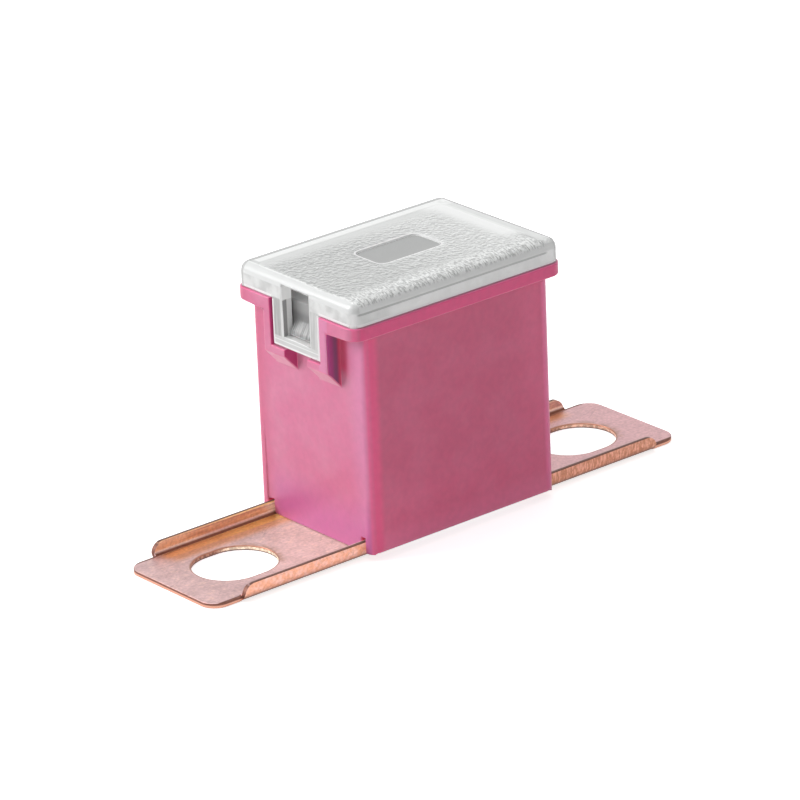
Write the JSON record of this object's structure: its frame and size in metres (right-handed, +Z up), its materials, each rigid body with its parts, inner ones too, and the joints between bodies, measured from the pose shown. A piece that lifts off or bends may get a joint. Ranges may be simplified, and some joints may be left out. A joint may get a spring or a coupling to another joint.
{
  "type": "bolt-in automotive cartridge fuse",
  "caption": "Bolt-in cartridge fuse: folded copper strip with slotted terminals through a pink moulded housing, under a clear cover with two latch tabs.",
  "frame": {"origin": "middle of the part at its underside, which is the underside of the copper strip", "axes": "+X runs along the strip from terminal to terminal, +Y across it, +Z up towards the clear cover"},
  "size_m": [0.041, 0.0126, 0.0184],
  "materials": {
    "housing_plastic": "pink moulded polyamide, satin gloss",
    "cover_plastic": "clear moulded plastic with a finely textured top",
    "strip_copper": "copper alloy sheet, satin, handled",
    "slug_tin": "dull tin"
  },
  "bodies": {
    "root": {"housing": "housing_plastic", "cover": "cover_plastic", "fuse_element": "strip_copper", "overload_slug": "slug_tin"}
  },
  "joints": []
}
